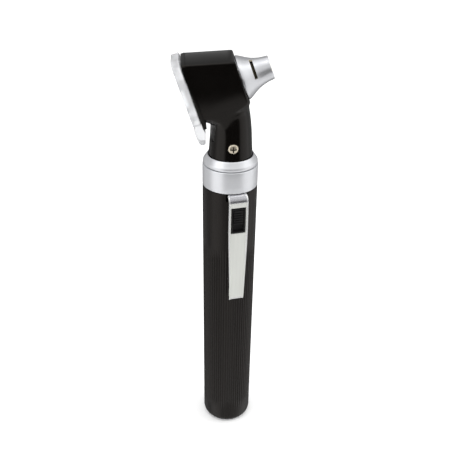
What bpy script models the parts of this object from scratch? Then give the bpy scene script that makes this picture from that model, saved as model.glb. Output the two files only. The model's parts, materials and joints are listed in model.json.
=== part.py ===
"""Pocket otoscope: a battery handle with a clip and slide switch, and a diagnostic head on top.

Frame: the origin is the centre of the handle's flat bottom, +Z runs up the handle, +X points to
the side that carries the speculum cone. Every number below is in millimetres; new_object() turns
each finished mesh into metres.
"""
import math

import bmesh
import bpy
from mathutils import Matrix, Vector

MM = 0.001
GAP = 0.3                      # clearance between pieces that touch or lie close

# ---- driving dimensions, millimetres -----------------------------------------------------------
CELL_RADIUS = 7.25             # AA cell
CELL_LENGTH = 50.5
HANDLE_TOP = 110.5             # where the black tube meets the metal collar
HANDLE_TOP_R = 10.0
HANDLE_FOOT_R = 9.77
HANDLE_FOOT_ROUND = 2.4
BORE_R = 7.6
FLOOR = 2.5
SPIGOT_TOP = 113.2             # the tube's narrow end, inside the collar
SPIGOT_R = 9.25
COLLAR_TOP = 118.5
RING_TOP = 122.0
RING_BORE_R = 8.1
CLIP_TURN = 12.0               # degrees that the clip sits round the handle, from -Y towards +X
WINDOW_LOW = 95.5              # opening in the clip for the slide switch
WINDOW_HIGH = 105.9
CLIP_END = 66.2
BEZEL_HALF = 2.45
KNOB_HALF = 1.75
SWITCH_TRAVEL = 2.7
NECK_FOOT = 120.6
NECK_R = 7.8
HEAD_HALF_WIDTH = 7.8
FRONT_TILT = 20.3              # degrees, front face and speculum axis
REAR_TILT = 18.5               # degrees, rear face and magnifier
CONE_SEAT = (3.2, 0.0, 149.25)
REAR_SEAT = (-14.0, 0.0, 146.5)
CONE_LENGTH = 10.6
LENS_HEIGHT = -2.2             # lens centre, measured up the rear face from its seat
PIVOT_HEIGHT = 7.9             # magnifier pivot, measured the same way
TWIST_LUGS = 3
SCREW_HEIGHT = 126.3

ROUND = 40                     # facets round the large turned pieces
SMALL_ROUND = 24


# ---- finishes ------------------------------------------------------------------------------------
def finish(name, colour, roughness, metallic=0.0, transmission=0.0):
    material = bpy.data.materials.new(name)
    material.use_nodes = True
    shader = material.node_tree.nodes["Principled BSDF"]
    shader.inputs["Base Color"].default_value = (*colour, 1.0)
    shader.inputs["Roughness"].default_value = roughness
    shader.inputs["Metallic"].default_value = metallic
    shader.inputs["Transmission Weight"].default_value = transmission
    material.diffuse_color = (*colour, 1.0)
    return material


# ---- modelling helpers ---------------------------------------------------------------------------
def new_object(name, mesh_data, material, parent=None):
    """Scale a bmesh to metres and make it the named object."""
    bmesh.ops.recalc_face_normals(mesh_data, faces=mesh_data.faces)
    bmesh.ops.scale(mesh_data, vec=(MM, MM, MM), verts=mesh_data.verts)
    mesh = bpy.data.meshes.new(name)
    mesh_data.to_mesh(mesh)
    mesh_data.free()
    mesh.materials.append(material)
    mesh.shade_smooth()
    mesh.set_sharp_from_angle(angle=math.radians(30))
    thing = bpy.data.objects.new(name, mesh)
    bpy.context.collection.objects.link(thing)
    thing.parent = parent
    return thing


def empty(name, location, rotation, parent=None):
    """A placing frame: location in millimetres, rotation in degrees."""
    frame = bpy.data.objects.new(name, None)
    bpy.context.collection.objects.link(frame)
    frame.location = Vector(location) * MM
    frame.rotation_euler = [math.radians(angle) for angle in rotation]
    frame.parent = parent
    return frame


def arc(centre, radius, start, stop, steps):
    """Points on a circle from start to stop, in degrees, both ends included."""
    angles = [math.radians(start + (stop - start) * i / steps) for i in range(steps + 1)]
    return [(centre[0] + radius * math.cos(a), centre[1] + radius * math.sin(a)) for a in angles]


def bezier(a, b, c, d, steps):
    """Points on a cubic curve, both ends included."""
    points = []
    for i in range(steps + 1):
        t = i / steps
        weights = ((1 - t) ** 3, 3 * t * (1 - t) ** 2, 3 * t * t * (1 - t), t ** 3)
        corners = (a, b, c, d)
        points.append(tuple(sum(w * p[k] for w, p in zip(weights, corners)) for k in (0, 1)))
    return points


def turned_mesh(outline, segments):
    """Turn (radius, height) points round Z; an outline that ends on the axis twice stays open."""
    mesh = bmesh.new()
    verts = [mesh.verts.new((radius, 0.0, height)) for radius, height in outline]
    edges = [mesh.edges.new(pair) for pair in zip(verts, verts[1:])]
    if outline[0][0] > 0 or outline[-1][0] > 0:
        edges.append(mesh.edges.new((verts[-1], verts[0])))
    bmesh.ops.spin(mesh, geom=verts + edges, cent=(0, 0, 0), axis=(0, 0, 1),
                   angle=math.tau, steps=segments, use_merge=True)
    bmesh.ops.remove_doubles(mesh, verts=mesh.verts, dist=1e-4)
    return mesh


def turned(name, outline, material, parent=None, segments=ROUND):
    return new_object(name, turned_mesh(outline, segments), material, parent)


def prism_mesh(outline, low, high, axis="Z"):
    """Extrude an outline along an axis. Its points are (x, y) for Z, and (x, z) for Y."""
    mesh = bmesh.new()
    place = {"Z": lambda p: (p[0], p[1], low),
             "Y": lambda p: (p[0], low, p[1]),
             "X": lambda p: (low, p[0], p[1])}[axis]
    step = {"Z": (0, 0, high - low), "Y": (0, high - low, 0), "X": (high - low, 0, 0)}[axis]
    face = mesh.faces.new([mesh.verts.new(place(point)) for point in outline])
    grown = bmesh.ops.extrude_face_region(mesh, geom=[face])
    moved = [item for item in grown["geom"] if isinstance(item, bmesh.types.BMVert)]
    bmesh.ops.translate(mesh, vec=step, verts=moved)
    return mesh


def prism(name, outline, low, high, material, axis="Z", parent=None):
    return new_object(name, prism_mesh(outline, low, high, axis), material, parent)


def block_mesh(x, y, z):
    """A box between (low, high) pairs."""
    return prism_mesh([(x[0], y[0]), (x[1], y[0]), (x[1], y[1]), (x[0], y[1])], z[0], z[1])


def loft_mesh(rings):
    """Join rings that hold the same number of points, and close both ends."""
    mesh = bmesh.new()
    loops = [[mesh.verts.new(point) for point in ring] for ring in rings]
    count = len(loops[0])
    for lower, upper in zip(loops, loops[1:]):
        for i in range(count):
            j = (i + 1) % count
            mesh.faces.new((lower[i], lower[j], upper[j], upper[i]))
    mesh.faces.new(list(reversed(loops[0])))
    mesh.faces.new(loops[-1])
    return mesh


def merged(meshes):
    """Put several bmeshes into one, as separate shells."""
    result = bmesh.new()
    for part in meshes:
        bmesh.ops.recalc_face_normals(part, faces=part.faces)
        data = bpy.data.meshes.new("shell")
        part.to_mesh(data)
        part.free()
        result.from_mesh(data)
        bpy.data.meshes.remove(data)
    return result


def shape_with(thing, mesh_data, operation):
    """Cut, join or trim an object with a mesh given in the object's own frame."""
    cutter = new_object(thing.name + "_" + operation.lower(), mesh_data,
                        thing.data.materials[0], thing.parent)
    cutter.hide_render = True
    cutter.hide_set(True)
    cutter.display_type = "WIRE"
    change = thing.modifiers.new(operation.title(), "BOOLEAN")
    change.operation = operation
    change.object = cutter
    change.solver = "EXACT"


def sector_mesh(inner, outer, centre, half_angle, low, high, steps=8):
    """A curved block: part of a ring, centred on an angle in degrees."""
    start = centre - half_angle
    stop = centre + half_angle
    outline = arc((0, 0), outer, start, stop, steps) + arc((0, 0), inner, stop, start, steps)
    return prism_mesh(outline, low, high)


def coil(name, radius_low, radius_high, low, high, turns, wire_radius, material, parent,
         steps=12, sides=6):
    """A round-wire spring between two heights, straight or conical."""
    rings = []
    total = int(turns * steps)
    for i in range(total + 1):
        share = i / total
        angle = math.tau * turns * share
        radius = radius_low + (radius_high - radius_low) * share
        height = low + wire_radius + (high - low - 2 * wire_radius) * share
        ring = []
        for k in range(sides):
            turn = math.tau * k / sides
            reach = radius + wire_radius * math.cos(turn)
            ring.append((reach * math.cos(angle), reach * math.sin(angle),
                         height + wire_radius * math.sin(turn)))
        rings.append(ring)
    return new_object(name, loft_mesh(rings), material, parent)


# ---- handle --------------------------------------------------------------------------------------
def handle_radius(height):
    """Outer radius of the black tube at a height."""
    return HANDLE_FOOT_R + (HANDLE_TOP_R - HANDLE_FOOT_R) * height / HANDLE_TOP


def make_handle_tube(black, clip_frame):
    """Battery tube with a closed bottom, a switch recess, a clip recess and a strip groove."""
    foot = HANDLE_FOOT_R - HANDLE_FOOT_ROUND
    outline = [(0, 0)]
    outline += arc((foot, HANDLE_FOOT_ROUND), HANDLE_FOOT_ROUND, -90, 0, 5)
    outline += [(handle_radius(60), 60), (HANDLE_TOP_R, HANDLE_TOP - GAP),
                (SPIGOT_R, HANDLE_TOP - GAP), (SPIGOT_R, SPIGOT_TOP), (BORE_R, SPIGOT_TOP),
                (BORE_R, FLOOR), (0, FLOOR)]
    tube = turned("handle_tube", outline, black, clip_frame)
    cuts = [
        block_mesh((-2.0, 2.0), (-12, -8.8), (95.9, 105.3)),          # switch recess
        block_mesh((-1.2, 1.2), (-12, -8.8), (105.0, 109.0)),         # channel to the clip root
        block_mesh((-4.0, 4.0), (-12, -8.15), (107.5, 115)),          # recess round the clip root
        block_mesh((-1.3, 1.3), (-8.35, -6.5), (FLOOR, 97.3)),        # strip groove in the bore
        block_mesh((-1.3, 1.3), (-9.2, -8.0), (96.4, 97.3)),          # strip's way out
    ]
    for cut in cuts:
        shape_with(tube, cut, "DIFFERENCE")


def make_collar(silver, handle_frame):
    """Metal collar over the tube's spigot, with a slotted flange that holds the head's lugs."""
    edge = 0.35
    outline = [(HANDLE_TOP_R, HANDLE_TOP), (HANDLE_TOP_R, COLLAR_TOP - edge),
               (HANDLE_TOP_R - edge, COLLAR_TOP), (7.25, COLLAR_TOP), (7.25, 116.2),
               (9.0, 116.2), (9.0, SPIGOT_TOP + 0.4), (9.55, SPIGOT_TOP + 0.4),
               (9.55, HANDLE_TOP)]
    collar = turned("handle_collar", outline, silver, handle_frame)
    spacing = 360 / TWIST_LUGS
    slots = [sector_mesh(6.0, 8.95, 60 + spacing * i, 18, 115.9, COLLAR_TOP + 1)
             for i in range(TWIST_LUGS)]
    shape_with(collar, merged(slots), "DIFFERENCE")


def make_cells(wrap, handle_frame):
    """Two AA cells in line, plus ends up."""
    lower_foot = 9.3
    foots = (lower_foot, lower_foot + CELL_LENGTH + GAP)
    for name, foot in zip(("battery_lower", "battery_upper"), foots):
        top = foot + CELL_LENGTH
        outline = [(0, foot), (CELL_RADIUS - 0.4, foot), (CELL_RADIUS, foot + 0.4),
                   (CELL_RADIUS, top - 1.6), (CELL_RADIUS - 0.4, top - 1.1), (2.7, top - 1.1),
                   (2.7, top), (0, top)]
        turned(name, outline, wrap, handle_frame, 32)


def make_tail_contact(brass, steel, clip_frame):
    """Disc and conical spring under the lower cell, and the strip that leads up to the switch."""
    disc_r = 5.4
    half = 1.0
    start = math.degrees(math.asin(half / disc_r)) - 90
    outline = arc((0, 0), disc_r, start, start + 360 - 2 * (start + 90), 28)
    outline += [(-half, -7.45), (half, -7.45)]
    prism("tail_contact", outline, FLOOR + GAP, FLOOR + GAP + 0.4, brass, parent=clip_frame)
    coil("tail_spring", 4.9, 3.0, FLOOR + 1.0, 9.0, 4, 0.4, steel, clip_frame)
    strip = [(-7.75, 2.9), (-7.75, 96.95), (-9.05, 96.95), (-9.05, 100.0), (-9.3, 100.0),
             (-9.3, 96.7), (-8.05, 96.7), (-8.05, 2.9)]
    prism("contact_strip", strip, -half, half, brass, axis="X", parent=clip_frame)
    upper = [(-9.05, 102.6), (-9.05, 108.7), (-9.35, 108.7), (-9.35, 102.6)]
    prism("upper_contact", upper, -0.9, 0.9, brass, axis="X", parent=clip_frame)


def make_switch(black, copper, clip_frame, switch_frame):
    """Bezel in the clip's window, ribbed knob that slides over its floor, and the slider behind."""
    middle = switch_frame.location.z / MM
    bezel_z = (WINDOW_LOW + GAP, WINDOW_HIGH - GAP)
    pocket_z = (bezel_z[0] + 0.55, bezel_z[1] - 0.55)
    floor_y = -10.9
    stem_z = (102.0, 104.2)
    bezel = new_object("switch_bezel", block_mesh((-BEZEL_HALF, BEZEL_HALF), (-12.0, -10.3),
                                                  bezel_z), black, clip_frame)
    pocket = block_mesh((-KNOB_HALF - 0.25, KNOB_HALF + 0.25), (-13, floor_y), pocket_z)
    shape_with(bezel, pocket, "DIFFERENCE")
    slot_z = (stem_z[0] - SWITCH_TRAVEL - GAP, stem_z[1] + GAP)
    shape_with(bezel, block_mesh((-0.9, 0.9), (-12, -10), slot_z), "DIFFERENCE")

    ribs = 6
    low = 99.2
    high = 104.9
    pitch = (high - low) / ribs
    foot_y = floor_y - GAP
    side = [(foot_y, high), (foot_y, low)]
    for i in range(ribs):
        foot = low + i * pitch
        side += [(-11.75, foot + 0.1 * pitch), (-12.3, foot + 0.3 * pitch),
                 (-12.3, foot + 0.7 * pitch), (-11.75, foot + 0.9 * pitch)]
    side = [(y, z - middle) for y, z in side]
    knob = new_object("switch_knob", prism_mesh(side, -KNOB_HALF, KNOB_HALF, "X"), black,
                      switch_frame)
    stem = block_mesh((-0.6, 0.6), (foot_y - 0.2, -10.2), [z - middle for z in stem_z])
    shape_with(knob, stem, "UNION")
    plate = [(-9.9, 99.4), (-9.5, 99.4), (-9.5, 104.8), (-9.9, 104.8)]
    plate = [(y, z - middle) for y, z in plate]
    prism("switch_slider", plate, -1.5, 1.5, copper, "X", switch_frame)


def clip_stations():
    """Centre line of the clip as (y, z, half width), from its root under the collar to its end."""
    root = [(-8.75, 113.0, 2.7), (-8.75, 110.6, 2.7)]
    bend = [(-9.0, 110.05, 3.0), (-9.7, 109.85, 3.4), (-10.6, 109.5, 3.55), (-11.3, 108.8, 3.55),
            (-11.65, 107.8, 3.55)]
    face = [(-11.7, 106.6, 3.55), (-11.65, 94.0, 3.55), (-11.5, 80.0, 3.15), (-11.3, 70.0, 2.85)]
    end = [(-11.1, 67.4, 2.8), (-10.85, CLIP_END, 2.75)]
    return root + bend + face + end


def make_clip(steel, root_frame):
    """Spring clip: narrow root, shoulder, long tapering face with a window for the switch."""
    half_thick = 0.35
    chamfer = 0.3
    root = root_frame.location / MM
    stations = clip_stations()
    rings = []
    for i, (y, z, half_width) in enumerate(stations):
        before = stations[max(i - 1, 0)]
        after = stations[min(i + 1, len(stations) - 1)]
        run = Vector((after[0] - before[0], after[1] - before[1])).normalized()
        outward = Vector((run[1], -run[0]))
        ring = []
        for x, offset in ((-half_width, -half_thick), (half_width, -half_thick),
                          (half_width, half_thick - chamfer), (half_width - chamfer, half_thick),
                          (chamfer - half_width, half_thick), (-half_width, half_thick - chamfer)):
            ring.append((x, y + outward[0] * offset - root[1], z + outward[1] * offset - root[2]))
        rings.append(ring)
    clip = new_object("pocket_clip", loft_mesh(rings), steel, root_frame)
    low = WINDOW_LOW - root[2]
    high = WINDOW_HIGH - root[2]
    half = BEZEL_HALF + GAP
    window = block_mesh((-half, half), (-14 - root[1], -10.5 - root[1]), (low, high))
    shape_with(clip, window, "DIFFERENCE")


# ---- head: coupling and contacts -------------------------------------------------------------------
def make_coupling(silver, steel, head_frame):
    """Bayonet insert with lugs under the collar's flange, and the bevelled ring above it."""
    insert_r = 6.9
    neck_bore_r = 6.2
    outline = [(insert_r, 113.6), (insert_r, NECK_FOOT - GAP), (neck_bore_r, NECK_FOOT - GAP),
               (neck_bore_r, 129.5), (4.6, 129.5), (4.6, 113.6)]
    insert = turned("bayonet_insert", outline, steel, head_frame)
    spacing = 360 / TWIST_LUGS
    lugs = [sector_mesh(6.6, 8.7, spacing * i, 15, 114.1, 115.9) for i in range(TWIST_LUGS)]
    shape_with(insert, merged(lugs), "UNION")

    bevel = bezier((9.8, 119.0), (9.6, 120.0), (9.0, 121.0), (8.25, RING_TOP), 5)
    outline = [(9.7, COLLAR_TOP + GAP)] + bevel
    outline += [(RING_BORE_R, RING_TOP - 0.15), (RING_BORE_R, 120.3), (7.2, 120.3),
                (7.2, COLLAR_TOP + GAP)]
    turned("lock_ring", outline, silver, head_frame)
    return insert


def make_contacts(white, brass, steel, head_frame):
    """Insulating bush, the sprung pin that meets the upper cell, and its spring."""
    bush = [(4.3, 113.6), (4.3, 120.0), (1.2, 120.0), (1.2, 116.8), (2.7, 116.8), (2.7, 113.6)]
    turned("contact_bush", bush, white, head_frame, SMALL_ROUND)
    pin = [(0, 110.75), (2.0, 110.75), (2.4, 111.1), (2.4, 112.0), (0.9, 112.0), (0.9, 120.9),
           (0, 120.9)]
    pin = [(radius, height + 0.2) for radius, height in pin]
    turned("contact_pin", pin, brass, head_frame, SMALL_ROUND)
    coil("contact_spring", 1.85, 1.85, 112.5, 116.6, 4, 0.22, steel, head_frame, 10, 5)


def make_lamp(brass, glass, clear, head_frame):
    """Lamp in its sleeve at the top of the neck, and the clear guide that leads its light out."""
    sleeve = [(4.3, 120.4), (4.3, 129.2), (3.5, 129.2), (3.5, 121.6), (2.0, 121.6), (2.0, 120.4)]
    turned("lamp_sleeve", sleeve, brass, head_frame, SMALL_ROUND)
    base = [(0, 121.4), (1.2, 121.4), (1.2, 121.9), (3.1, 121.9), (3.1, 128.6), (0, 128.6)]
    turned("lamp_base", base, brass, head_frame, SMALL_ROUND)
    bulb = [(0, 128.9), (2.7, 128.9)] + arc((0, 132.0), 2.7, 0, 90, 6)
    turned("lamp_bulb", bulb, glass, head_frame, SMALL_ROUND)
    guide = [(-1.4, 135.1), (1.5, 135.1), (1.7, 140.5), (2.6, 143.8), (5.7, 145.3),
             (5.2, 146.6), (1.7, 145.2), (-0.4, 141.8)]
    prism("light_guide", guide, -1.4, 1.4, clear, "Y", head_frame)


# ---- head: shell -------------------------------------------------------------------------------------
def shell_ring(level, count):
    """A ring of the head: rear and front points, then half widths and squareness at each end."""
    rear, front, half_widths, powers = level
    middle = Vector((rear[0] + front[0], 0, rear[1] + front[1])) / 2
    reach = Vector((front[0] - rear[0], 0, front[1] - rear[1])) / 2
    ring = []
    for i in range(count):
        turn = math.tau * (i + 0.5) / count
        power = powers[1] if math.cos(turn) > 0 else powers[0]
        along = math.copysign(abs(math.cos(turn)) ** (2 / power), math.cos(turn))
        across = math.copysign(abs(math.sin(turn)) ** (2 / power), math.sin(turn))
        half = half_widths[0] + (half_widths[1] - half_widths[0]) * (along + 1) / 2
        ring.append(middle + reach * along + Vector((0, half * across, 0)))
    return ring


def shell_rings(count):
    """Outer form of the head: round neck, short transition, then the slanted box."""
    wide = HEAD_HALF_WIDTH
    levels = [
        ((-NECK_R, NECK_FOOT), (NECK_R, NECK_FOOT), (NECK_R, NECK_R), (2, 2)),
        ((-NECK_R, 122.2), (NECK_R, 122.2), (NECK_R, NECK_R), (2, 2)),
        ((-7.2, 131.0), (7.25, 131.5), (7.15, 7.15), (2, 2)),
        ((-7.25, 133.2), (6.7, 136.2), (7.0, 6.95), (2.15, 2.1)),
        ((-8.5, 134.6), (6.15, 139.6), (7.5, 7.05), (3.6, 2.4)),
        ((-12.0, 137.0), (6.25, 141.7), (7.75, 7.4), (8, 4)),
        ((-14.0, 140.2), (5.4, 143.75), (wide, wide), (16, 14)),
        ((-17.0, 148.6), (2.9, 150.3), (wide, wide), (24, 24)),
        ((-18.6, 155.2), (0.75, 156.3), (wide, wide), (24, 24)),
        ((-18.6, 155.65), (0.35, 156.8), (wide - 0.35, wide - 0.35), (24, 24)),
    ]
    return [shell_ring(level, count) for level in levels]


def make_shell(black, head_frame, cone_frame):
    """Hollow head shell, open at the rear, with a round front opening and a bored neck."""
    shell = new_object("head_shell", loft_mesh(shell_rings(36)), black, head_frame)
    behind_rim = [(-8.45, 133.9), (-15.75, 156.5), (-16.0, 158.0), (-30.0, 158.0), (-30.0, 133.9)]
    shape_with(shell, prism_mesh(behind_rim, -9.0, 9.0, "Y"), "DIFFERENCE")
    cavity = [(-20.0, 140.4), (-10.2, 140.4), (2.6, 144.9), (-1.3, 154.9), (-20.0, 154.0)]
    shape_with(shell, prism_mesh(cavity, -6.2, 6.2, "Y"), "DIFFERENCE")
    bore = turned_mesh([(0, 146), (5.2, 146), (5.2, 129.8), (6.5, 129.8), (6.5, 118), (0, 118)],
                       32)
    shape_with(shell, bore, "DIFFERENCE")
    front = turned_mesh([(0, 3), (6.2, 3), (6.2, -5), (0, -5)], 32)
    front.transform(head_local(cone_frame))
    shape_with(shell, front, "DIFFERENCE")
    return shell


def head_local(frame):
    """A placing frame's own turn and place, in millimetres."""
    turn = frame.rotation_euler.to_matrix().to_4x4()
    return Matrix.Translation(frame.location / MM) @ turn


def make_neck_screw(shell, insert, steel, screw_frame):
    """Cross-head screw in a round recess, through the shell and into the insert."""
    recess = turned_mesh([(0, 9), (2.2, 9), (2.2, 6.75), (1.3, 6.75), (1.3, 5.5), (0, 5.5)],
                         SMALL_ROUND)
    recess.transform(head_local(screw_frame))
    shape_with(shell, recess, "DIFFERENCE")
    tapped = turned_mesh([(0, 7), (1.3, 7), (1.3, 3.5), (0, 3.5)], SMALL_ROUND)
    tapped.transform(head_local(screw_frame))
    shape_with(insert, tapped, "DIFFERENCE")
    outline = [(0, 7.6), (0.9, 7.55), (1.5, 7.35), (1.8, 7.1), (1.8, 6.9), (1.0, 6.9),
               (1.0, 4.9), (0, 4.9)]
    screw = turned("neck_screw", outline, steel, screw_frame, SMALL_ROUND)
    for long, short in ((0.95, 0.22), (0.22, 0.95)):
        slot = block_mesh((-long, long), (-short, short), (7.15, 8.5))
        shape_with(screw, slot, "DIFFERENCE")


# ---- head: speculum cone ------------------------------------------------------------------------------
def cone_profile(steps):
    """Outer side of the cone as (radius, distance from the head), flared at the head end."""
    side = bezier((7.65, 0.7), (6.6, 3.0), (4.35, 4.8), (4.05, CONE_LENGTH - 0.3), steps)
    return [(7.65, GAP)] + side + [(3.85, CONE_LENGTH)]


def make_cone(silver, black, cone_frame):
    """Metal speculum holder with a cross slot, and the dark sleeve inside it."""
    wall = 0.75
    side = cone_profile(8)
    inner = [(radius - wall, distance) for radius, distance in reversed(side)]
    inner[-1] = (5.9, GAP)
    outline = side + [(3.5, CONE_LENGTH)] + inner[1:-2]
    outline += [(6.3, 1.6), (5.2, 1.6), (5.2, -1.7), (5.9, -1.7), (5.9, GAP)]
    holder = turned("speculum_holder", outline, silver, cone_frame, 32)
    slots = [sector_mesh(3.0, 9.0, 180 + turn, 40, 4.4, 5.2) for turn in (55, -55)]
    shape_with(holder, merged(slots), "DIFFERENCE")

    thin = 0.4
    body = [point for point in side if 2.6 < point[1] < 9.6]
    outer = [(radius - wall - GAP, distance) for radius, distance in body]
    inner = [(radius - thin, distance) for radius, distance in reversed(outer)]
    turned("inner_sleeve", outer + inner, black, cone_frame, SMALL_ROUND)


# ---- rear: frame and magnifier --------------------------------------------------------------------
def face_outline(points):
    """Turn (sideways, up the face) points into the rear frames' own x and y."""
    return [(-up, side) for side, up in points]


def make_rear_frame(black, rear_frame):
    """Wedge-shaped rim round the rear opening, with a round window and a pivot hole."""
    half = HEAD_HALF_WIDTH
    top = 9.65
    foot = -13.4
    corner = arc((half - 1.2, top - 1.2), 1.2, 0, 90, 4)
    outline = [(half, foot)] + corner + [(-side, up) for side, up in reversed(corner)]
    outline += [(-half, foot)]
    mesh = prism_mesh(face_outline(outline), 0.0, 1.3)
    for vert in mesh.verts:
        if vert.co.z > 0.5:
            share = (top + vert.co.x) / (top - foot)
            vert.co.z = 1.15 - 0.65 * share
    rim = new_object("rear_rim", mesh, black, rear_frame)
    window = turned_mesh([(0, 3), (5.8, 3), (5.8, -2), (0, -2)], 32)
    bmesh.ops.translate(window, vec=(-LENS_HEIGHT, 0, 0), verts=window.verts)
    shape_with(rim, window, "DIFFERENCE")
    hole = turned_mesh([(0, 3), (1.2, 3), (1.2, -2), (0, -2)], 16)
    bmesh.ops.translate(hole, vec=(-PIVOT_HEIGHT, 0, 0), verts=hole.verts)
    shape_with(rim, hole, "DIFFERENCE")


def make_magnifier(clear, glass, pivot_frame):
    """Clear plate with a thumb tab, hung from the pivot, and the lens set in it."""
    half = 7.5
    back = -3.0
    front = -GAP
    top = 10.9 - PIVOT_HEIGHT
    foot = -12.0 - PIVOT_HEIGHT
    upper = arc((half - 4.6, top - 4.6), 4.6, 0, 90, 6)
    lower = arc((half - 1.5, foot + 1.5), 1.5, -90, 0, 3)
    right = lower + upper
    outline = right + [(-side, up) for side, up in reversed(right)]
    plate = new_object("magnifier_plate", prism_mesh(face_outline(outline), back, front), clear,
                       pivot_frame)
    tab = [(-2.8, 1.0), (-2.85, -1.4), (-3.6, -2.4), (-3.75, -5.2), (-3.5, -7.2), (-2.8, -8.3),
           (-1.4, -8.35), (-1.15, -7.2), (-0.1, -4.6), (-0.45, -3.0), (-0.5, 1.0)]
    tab = [(-(up + foot), depth) for depth, up in tab]
    shape_with(plate, prism_mesh(tab, -3.4, 3.4, "Y"), "UNION")
    seat_height = LENS_HEIGHT - PIVOT_HEIGHT
    hole = turned_mesh([(0, 1), (5.6, 1), (5.6, -4), (0, -4)], 36)
    bmesh.ops.translate(hole, vec=(-seat_height, 0, 0), verts=hole.verts)
    shape_with(plate, hole, "DIFFERENCE")
    bore = turned_mesh([(0, 1), (1.2, 1), (1.2, -1.7), (2.3, -1.7), (2.3, -4), (0, -4)], 20)
    shape_with(plate, bore, "DIFFERENCE")
    lens_r = 5.3
    crown = 0.9
    sphere_r = (lens_r ** 2 + crown ** 2) / (2 * crown)
    spread = math.degrees(math.asin(lens_r / sphere_r))
    bow = arc((0, back + crown - GAP + sphere_r), sphere_r, -90, -90 + spread, 6)
    lens = bow + [(lens_r, front - 0.2), (0, front - 0.2)]
    mesh = turned_mesh(lens, 32)
    bmesh.ops.translate(mesh, vec=(-seat_height, 0, 0), verts=mesh.verts)
    new_object("magnifier_lens", mesh, glass, pivot_frame)


def make_pivot(steel, pivot_frame):
    """Screw that the magnifier turns on, and the wave washer under its head."""
    screw = [(0, 0.9), (0.9, 0.9), (0.9, -2.15), (1.9, -2.15), (1.9, -2.7), (1.6, -2.9), (0, -2.9)]
    turned("pivot_screw", screw, steel, pivot_frame, 20)
    washer = [(1.15, -1.8), (2.0, -1.8), (2.0, -2.05), (1.15, -2.05)]
    turned("pivot_washer", washer, steel, pivot_frame, 20)


# ---- assembly -------------------------------------------------------------------------------------------
def clear_scene():
    for thing in list(bpy.data.objects):
        bpy.data.objects.remove(thing, do_unlink=True)


def main():
    clear_scene()
    black = finish("gloss_black_plastic", (0.012, 0.011, 0.010), 0.18)
    dull_black = finish("dark_plastic", (0.01, 0.01, 0.01), 0.5)
    silver = finish("satin_silver", (0.72, 0.73, 0.75), 0.25, 1.0)
    steel = finish("bright_steel", (0.78, 0.78, 0.75), 0.22, 1.0)
    brass = finish("brass", (0.75, 0.58, 0.28), 0.3, 1.0)
    wrap = finish("cell_wrap", (0.10, 0.22, 0.40), 0.4)
    white = finish("white_bush", (0.75, 0.74, 0.70), 0.5)
    clear = finish("clear_acrylic", (0.93, 0.95, 0.96), 0.05, 0.0, 0.95)
    glass = finish("glass", (0.97, 0.98, 1.0), 0.02, 0.0, 1.0)

    handle_frame = empty("handle_frame", (0, 0, 0), (0, 0, 0))
    clip_frame = empty("clip_frame", (0, 0, 0), (0, 0, CLIP_TURN), handle_frame)
    clip_root = empty("clip_root", (0, -9.0, 111.0), (0, 0, 0), clip_frame)
    switch_frame = empty("switch_frame", (0, 0, 100.7), (0, 0, 0), clip_frame)
    head_frame = empty("head_frame", (0, 0, 0), (0, 0, 0))
    screw_frame = empty("screw_frame", (0, 0, SCREW_HEIGHT), (90, 0, 4), head_frame)
    cone_frame = empty("cone_frame", CONE_SEAT, (0, 90 - FRONT_TILT, 0), head_frame)
    rear_frame = empty("rear_frame", REAR_SEAT, (0, 90 - REAR_TILT, 0), head_frame)
    tilt = math.radians(REAR_TILT)
    pivot_point = (REAR_SEAT[0] - PIVOT_HEIGHT * math.sin(tilt), 0,
                   REAR_SEAT[2] + PIVOT_HEIGHT * math.cos(tilt))
    pivot_frame = empty("pivot_frame", pivot_point, (0, 90 - REAR_TILT, 0), head_frame)

    make_handle_tube(black, clip_frame)
    make_collar(silver, handle_frame)
    make_cells(wrap, handle_frame)
    make_tail_contact(brass, steel, clip_frame)
    make_switch(dull_black, brass, clip_frame, switch_frame)
    make_clip(steel, clip_root)

    insert = make_coupling(silver, steel, head_frame)
    make_contacts(white, brass, steel, head_frame)
    make_lamp(brass, glass, clear, head_frame)
    shell = make_shell(black, head_frame, cone_frame)
    make_neck_screw(shell, insert, steel, screw_frame)
    make_cone(silver, dull_black, cone_frame)
    make_rear_frame(black, rear_frame)
    make_magnifier(clear, glass, pivot_frame)
    make_pivot(steel, pivot_frame)


main()
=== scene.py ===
"""Looks of the pocket otoscope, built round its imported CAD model.

Shapes are drawn in millimetres, in the CAD model's own frame, and piece() turns them into metres.
"""

import json
import math

import bmesh
import bpy
from mathutils import Matrix, Vector


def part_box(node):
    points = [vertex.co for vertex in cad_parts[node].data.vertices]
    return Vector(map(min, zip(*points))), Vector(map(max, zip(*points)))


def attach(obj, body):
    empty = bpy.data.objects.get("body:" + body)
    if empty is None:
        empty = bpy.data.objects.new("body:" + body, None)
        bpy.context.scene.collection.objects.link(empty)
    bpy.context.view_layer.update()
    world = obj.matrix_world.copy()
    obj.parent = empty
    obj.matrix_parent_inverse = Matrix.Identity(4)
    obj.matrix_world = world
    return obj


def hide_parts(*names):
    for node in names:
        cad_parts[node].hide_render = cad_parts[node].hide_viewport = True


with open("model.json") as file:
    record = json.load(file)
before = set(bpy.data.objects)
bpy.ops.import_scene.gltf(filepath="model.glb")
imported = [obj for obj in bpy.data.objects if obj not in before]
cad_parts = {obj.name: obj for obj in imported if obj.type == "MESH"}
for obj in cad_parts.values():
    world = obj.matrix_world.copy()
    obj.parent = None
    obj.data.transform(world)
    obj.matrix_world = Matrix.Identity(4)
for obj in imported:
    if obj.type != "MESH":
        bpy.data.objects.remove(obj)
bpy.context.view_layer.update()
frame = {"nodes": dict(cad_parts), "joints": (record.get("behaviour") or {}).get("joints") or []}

MM = 0.001
GAP = 0.3                          # clearance between pieces that lie close


# ---- places and sizes taken from the frame ---------------------------------------------------------
def low_high(node):
    """A CAD node's corners in millimetres."""
    low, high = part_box(node)
    return low / MM, high / MM


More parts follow.
